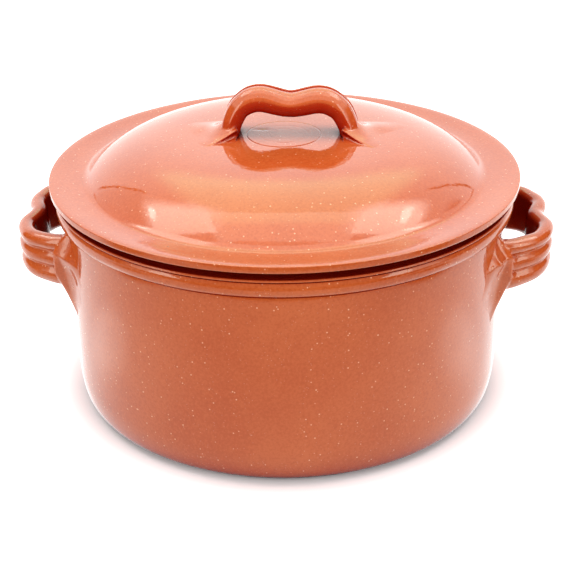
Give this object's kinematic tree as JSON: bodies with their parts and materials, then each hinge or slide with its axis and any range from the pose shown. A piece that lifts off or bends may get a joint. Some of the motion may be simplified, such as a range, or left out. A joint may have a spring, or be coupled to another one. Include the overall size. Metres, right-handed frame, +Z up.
{
  "type": "cazuela",
  "caption": "Round glazed earthenware casserole with a domed lid and wavy, ribbed strap handles at the sides and on the lid.",
  "frame": {"origin": "middle of the flat base, where it stands on the table", "axes": "+X from side handle to side handle, +Y away from the picture's viewer, +Z up along the pot's axis"},
  "size_m": [0.2986, 0.26, 0.1757],
  "materials": {
    "pot": "reddish earthenware under a clear, high-gloss glaze",
    "lid": "reddish earthenware under a clear, high-gloss glaze"
  },
  "bodies": {
    "root": {"pot": "pot", "lid": "lid"}
  },
  "joints": []
}
